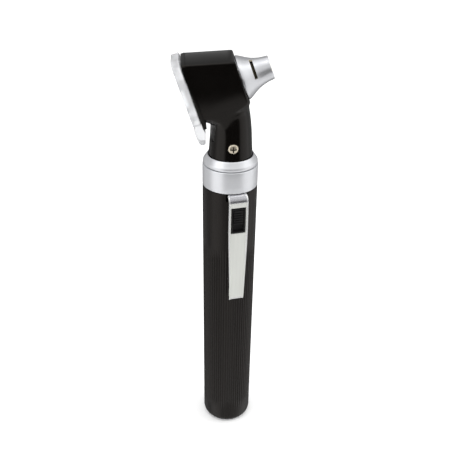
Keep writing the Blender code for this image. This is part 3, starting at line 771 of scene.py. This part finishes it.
def make_rim(black):
    """Rim round the rear opening, thicker at the top, with a round window and a pivot hole."""
    half = HEAD_HALF_WIDTH
    top = 9.65
    foot = -13.4
    top_thickness = 1.42
    thinning = 0.23
    radius = 1.2
    corner = arc((half - radius, top - radius), radius, 0, 90, 8)
    outline = [(half, foot)] + corner + [(-side, up) for side, up in reversed(corner)]
    outline += [(-half, foot)]
    mesh = prism(rear_outline(outline), 0.0, 1.3)
    for vert in mesh.verts:
        if vert.co.z > 0.5:
            share = (top + vert.co.x) / (top - foot)
            vert.co.z = top_thickness - thinning * share
    window = turned([(0, 3), (5.8, 3), (5.8, -2), (0, -2)], MIDDLE_ROUND)
    hole = turned([(0, 3), (1.2, 3), (1.2, -2), (0, -2)], 32)
    mesh = carved(mesh, [moved(window, Matrix.Translation((-LENS_HEIGHT, 0, 0))),
                         moved(hole, Matrix.Translation((-PIVOT_HEIGHT, 0, 0)))])
    mesh = rounded(mesh, 0.14)
    return piece("rear_bezel", mesh, "head", [black], ["rear_rim"], REAR_FRAME)


def make_magnifier(plastic):
    """Clear plate with rounded corners, a hole for the lens, a stepped hole for the pivot, and a
    thumb tab.
    """
    half = 7.5
    top = 10.9 - PIVOT_HEIGHT
    foot = -12.0 - PIVOT_HEIGHT
    upper_radius = 3.4
    lower_radius = 1.5
    upper = arc((half - upper_radius, top - upper_radius), upper_radius, 0, 90, 14)
    lower = arc((half - lower_radius, foot + lower_radius), lower_radius, -90, 0, 6)
    right = lower + upper
    outline = right + [(-side, up) for side, up in reversed(right)]
    plate = rounded(prism(rear_outline(outline), -3.0, -GAP), 0.3, segments=3)
    tab = [(-2.8, 1.0), (-2.85, -1.4), (-3.2, -1.9), (-3.6, -2.6), (-3.75, -4.0), (-3.72, -5.6),
           (-3.5, -7.2), (-3.2, -7.9), (-2.8, -8.3), (-2.1, -8.45), (-1.5, -8.3), (-1.15, -7.6),
           (-0.6, -6.0), (-0.1, -4.6), (-0.3, -3.6), (-0.45, -3.0), (-0.5, 1.0)]
    tab = rounded(prism([(-(up + foot), depth) for depth, up in tab], -3.4, 3.4, "Y"), 0.3,
                  angle=60, segments=3)
    seat = LENS_HEIGHT - PIVOT_HEIGHT
    hole = moved(turned([(0, 1), (5.6, 1), (5.6, -4), (0, -4)], MIDDLE_ROUND),
                 Matrix.Translation((-seat, 0, 0)))
    bore = turned([(0, 1), (1.2, 1), (1.2, -1.7), (2.3, -1.7), (2.3, -4), (0, -4)], 48)
    mesh = carved(carved(plate, [tab], "UNION"), [hole, bore])
    return piece("clear_plate", mesh, "magnifier", [plastic],
                 ["magnifier_plate"], PIVOT_FRAME, sharp=35)


def make_lens(glass):
    """Plano-convex magnifying lens."""
    lens_r = 5.3
    crown = 0.9
    back = -3.0
    sphere_r = (lens_r ** 2 + crown ** 2) / (2 * crown)
    spread = math.degrees(math.asin(lens_r / sphere_r))
    bow = arc((0, back + crown - GAP + sphere_r), sphere_r, -90, -90 + spread, 24)
    flat = -GAP - 0.2
    outline = bow + [(lens_r, flat - 0.1), (lens_r - 0.1, flat), (0, flat)]
    outline[0] = (0, outline[0][1])
    place = PIVOT_FRAME @ Matrix.Translation((PIVOT_HEIGHT - LENS_HEIGHT, 0, 0))
    return piece("lens", turned(outline, 128), "magnifier", [glass],
                 ["magnifier_lens"], place)


def make_pivot(metal):
    """Pivot screw with a straight slot, and the washer under its head."""
    head = [(0, 0.9), (0.8, 0.9), (0.9, 0.8), (0.9, -2.15), (1.85, -2.15), (1.9, -2.2),
            (1.9, -2.6), (1.8, -2.78), (1.5, -2.88), (1.0, -2.9), (0, -2.9)]
    slot = block((-0.2, 0.2), (-2.2, 2.2), (-3.5, -2.5))
    piece("pivot_pin", carved(turned(head, SMALL_ROUND), [slot]), "head",
          [metal], ["pivot_screw"], PIVOT_FRAME)
    washer = turned([(1.15, -1.8), (2.0, -1.8), (2.0, -2.05), (1.15, -2.05)], SMALL_ROUND)
    piece("thrust_washer", washer, "head", [metal], ["pivot_washer"], PIVOT_FRAME)


def make_springs(metal):
    """Round-wire springs under the lower cell and behind the centre contact."""
    tail = helix(4.9, 3.0, 3.5, 9.0, 4, 0.38)
    piece("tail_spring_fine", tail, "handle", [metal], ["tail_spring"],
          CLIP_FRAME)
    contact = helix(1.85, 1.85, 112.5, 116.6, 4, 0.21)
    piece("contact_spring_fine", contact, "head", [metal], ["contact_spring"])


def finish_inner_parts(finishes):
    """Give the CAD nodes that stay in view their own materials."""
    for node, material in finishes.items():
        thing = frame["nodes"][node]
        thing.data.materials.clear()
        thing.data.materials.append(material)


# ---- studio ----------------------------------------------------------------------------------------
def stage_plane(name, x, y, height, material):
    """A flat rectangle given in metres."""
    mesh = bmesh.new()
    corners = [(x[0], y[0], height), (x[1], y[0], height), (x[1], y[1], height),
               (x[0], y[1], height)]
    mesh.faces.new([mesh.verts.new(corner) for corner in corners])
    data = bpy.data.meshes.new(name)
    mesh.to_mesh(data)
    mesh.free()
    data.materials.append(material)
    plane = bpy.data.objects.new(name, data)
    bpy.context.scene.collection.objects.link(plane)
    return plane


def softbox(name, place, size, watts, target=(0, 0, 0.11)):
    """A rectangular light, in metres, aimed at a point and kept out of reflections."""
    light = bpy.data.lights.new(name, "AREA")
    light.shape = "RECTANGLE"
    light.size = size[0]
    light.size_y = size[1]
    light.energy = watts
    thing = bpy.data.objects.new(name, light)
    bpy.context.scene.collection.objects.link(thing)
    thing.location = place
    aim = Vector(target) - Vector(place)
    thing.rotation_euler = aim.to_track_quat("-Z", "Y").to_euler()
    thing.visible_camera = False
    thing.visible_glossy = False
    return thing


def math_node(tree, operation, first, second=None):
    """A Math node fed by sockets or plain numbers."""
    node = tree.nodes.new("ShaderNodeMath")
    node.operation = operation
    for socket, value in zip(node.inputs, (first, second)):
        if isinstance(value, bpy.types.NodeSocket):
            tree.links.new(value, socket)
        elif value is not None:
            socket.default_value = value
    return node.outputs[0]


def fade_node(tree, value, low, high, start=0.0, stop=1.0):
    """A smooth step from start to stop as a socket's value goes from low to high."""
    node = tree.nodes.new("ShaderNodeMapRange")
    node.interpolation_type = "SMOOTHSTEP"
    for name, number in (("From Min", low), ("From Max", high), ("To Min", start),
                         ("To Max", stop)):
        node.inputs[name].default_value = number
    tree.links.new(value, node.inputs["Value"])
    return node.outputs["Result"]


def angle_from(tree, azimuth, centre):
    """How far an azimuth is from a centre, both in radians."""
    return math_node(tree, "ABSOLUTE", math_node(tree, "SUBTRACT", azimuth, centre))


def stretch_of(tree, angle, angle_fade, height, *height_fades):
    """Where a stretch of the surround lies: a fade by angle, times fades by height."""
    share = fade_node(tree, angle, *angle_fade)
    for limits in height_fades:
        share = math_node(tree, "MULTIPLY", share, fade_node(tree, height, *limits))
    return share


def make_surround():
    """Plain white surround, which reflections see with dim and bright stretches, as in a studio.

    The stretches are fixed in the world. They are dark on the near side, dimmer at the back and
    towards the ground there, brighter straight above, and have two bright upright strips.
    """
    world = bpy.data.worlds.new("surround")
    world.use_nodes = True
    bpy.context.scene.world = world
    tree = world.node_tree
    where = tree.nodes.new("ShaderNodeTexCoord")
    split = tree.nodes.new("ShaderNodeSeparateXYZ")
    tree.links.new(where.outputs["Generated"], split.inputs["Vector"])
    x, y, z = split.outputs
    towards = math_node(tree, "MULTIPLY", y, -1.0)
    azimuth = math_node(tree, "ARCTAN2", x, towards)
    round_back = math_node(tree, "ABSOLUTE", azimuth)
    near = stretch_of(tree, angle_from(tree, azimuth, DARK_CENTRE),
                      (DARK_HALF - DARK_BLUR, DARK_HALF + DARK_BLUR, 1.0, 0.0),
                      z, (-0.46, -0.38), (0.15, 0.45, 1.0, 0.0))
    far = stretch_of(tree, round_back, (2.4, 2.75), z, (0.0, 0.12), (0.45, 0.7, 1.0, 0.0))
    behind = stretch_of(tree, angle_from(tree, azimuth, BEHIND_CENTRE), (1.45, 2.0),
                        z, (0.6, 0.85, 1.0, 0.0))
    edge = stretch_of(tree, round_back, (2.35, 2.8), z, (-0.15, 0.0, 1.0, 0.0))
    studio = SURROUND
    for stretch, depth in ((near, NEAR_DEPTH), (behind, BEHIND_DEPTH), (far, FAR_DEPTH),
                           (edge, EDGE_DEPTH)):
        kept = math_node(tree, "SUBTRACT", 1.0, math_node(tree, "MULTIPLY", stretch, depth))
        studio = math_node(tree, "MULTIPLY", studio, kept)
    studio = math_node(tree, "MULTIPLY", studio, fade_node(tree, z, 0.75, 0.95, 1.0, ZENITH))
    lift = fade_node(tree, z, 0.15, 0.5, 1.0, STRIP_LIFT)
    for centre, gain in STRIPS:
        strip = fade_node(tree, angle_from(tree, azimuth, centre), *STRIP_FADE, gain, 0.0)
        strip = math_node(tree, "MULTIPLY", strip, lift)
        studio = math_node(tree, "MULTIPLY", studio, math_node(tree, "ADD", strip, 1.0))
    ray = tree.nodes.new("ShaderNodeLightPath")
    plain = math_node(tree, "SUBTRACT", 1.0, ray.outputs["Is Glossy Ray"])
    mirrored = math_node(tree, "MULTIPLY", studio, ray.outputs["Is Glossy Ray"])
    strength = math_node(tree, "ADD", mirrored, math_node(tree, "MULTIPLY", plain, PLAIN_WHITE))
    background = tree.nodes["Background"]
    background.inputs["Color"].default_value = (1.0, 1.0, 1.0, 1.0)
    tree.links.new(strength, background.inputs["Strength"])


def make_studio():
    """Pale floor, white surround and soft lights at both sides and above."""
    floor = stage_plane("floor", (-3, 3), (-3, 3), 0.0, pale_floor())
    floor.visible_glossy = False
    make_surround()
    softbox("softbox_left", (-0.45, -0.25, 0.35), (0.3, 0.5), 0.8)
    softbox("softbox_right", (0.5, 0.0, 0.3), (0.3, 0.5), 1.1)
    softbox("softbox_top", (0, 0.1, 0.8), (0.8, 0.8), 1.5, (0, 0, 0))
    lamp_glow()
    bpy.context.scene.view_settings.view_transform = "Standard"


def lamp_glow():
    """Warm light of the otoscope's own lamp, where it leaves the cone."""
    light = bpy.data.lights.new("lamp_glow", "POINT")
    light.color = (1.0, 0.85, 0.45)
    light.energy = 0.0008
    light.shadow_soft_size = 2.5 * MM
    thing = bpy.data.objects.new("lamp_glow", light)
    bpy.context.scene.collection.objects.link(thing)
    thing.location = (CONE_FRAME @ Vector((0, 0, CONE_LENGTH + 3.5))) * MM
    thing.visible_camera = False


def make_camera():
    """Looks down at the near side of the object, from a little above its top. In metres."""
    place = (-0.01519, -0.21885, 0.21792)
    bearing = -3.55                # degrees round Z
    drop = 29.77                   # degrees below level
    roll = 0.734
    data = bpy.data.cameras.new("camera")
    data.lens = 53.58
    data.sensor_width = 36.0
    data.clip_start = 0.005
    camera = bpy.data.objects.new("camera", data)
    bpy.context.scene.collection.objects.link(camera)
    turn = (Matrix.Rotation(math.radians(bearing), 4, "Z")
            @ Matrix.Rotation(math.radians(90 - drop), 4, "X")
            @ Matrix.Rotation(math.radians(roll), 4, "Z"))
    camera.matrix_world = Matrix.Translation(place) @ turn
    bpy.context.scene.camera = camera


def main():
    black = gloss_black()
    dull = switch_black()
    silver = turned_silver("turned_silver", 0.72)
    cone_silver = turned_silver("cone_silver", 0.86, (0, -math.radians(90 - CONE_TILT), 0))
    bright = polished("bright_metal", (0.95, 0.95, 0.945), 0.2, 0.9)
    steel = polished("steel", (0.62, 0.62, 0.60), 0.25)
    gilt = polished("gilt_screw", (0.78, 0.70, 0.56), 0.24)
    contact = brass()
    bronze = polished("slider_bronze", (0.10, 0.075, 0.045), 0.45)
    shoulder = polished("clip_shoulder", (0.57, 0.57, 0.60), 0.27, 0.9)
    # Dark brown for the inside of the screw's cross slot: painted shade.
    recess = polished("screw_slot_shade", (0.16, 0.13, 0.10), 0.4, 0.8)

    make_camera()
    make_studio()
    make_handle(handle_black())
    make_collar(silver)
    make_clip(clip_satin(), bright, shoulder)
    make_bezel(dull)
    make_knob(dull)
    make_lock_ring(silver)
    make_shell(black)
    make_neck_screw(gilt, recess)
    make_holder(cone_silver, warm_edge())
    make_sleeve(dull)
    make_rim(black)
    make_magnifier(hazy_acrylic())
    make_lens(clear("lens_glass", (0.98, 0.99, 1.0), 0.015, 1.5))
    make_pivot(steel)
    make_springs(steel)
    wrap = cell_wrap()
    finish_inner_parts({
        "battery_lower": wrap, "battery_upper": wrap, "tail_contact": contact,
        "contact_strip": contact, "upper_contact": contact, "switch_slider": bronze,
        "bayonet_insert": steel, "contact_bush": white_bush(), "contact_pin": contact,
        "lamp_sleeve": contact, "lamp_base": contact,
        "lamp_bulb": lit("lamp_glass", (1, 0.97, 0.9), 1.0),
        "light_guide": lit("lit_guide", (1, 0.98, 0.93), 0.2),
    })


main()
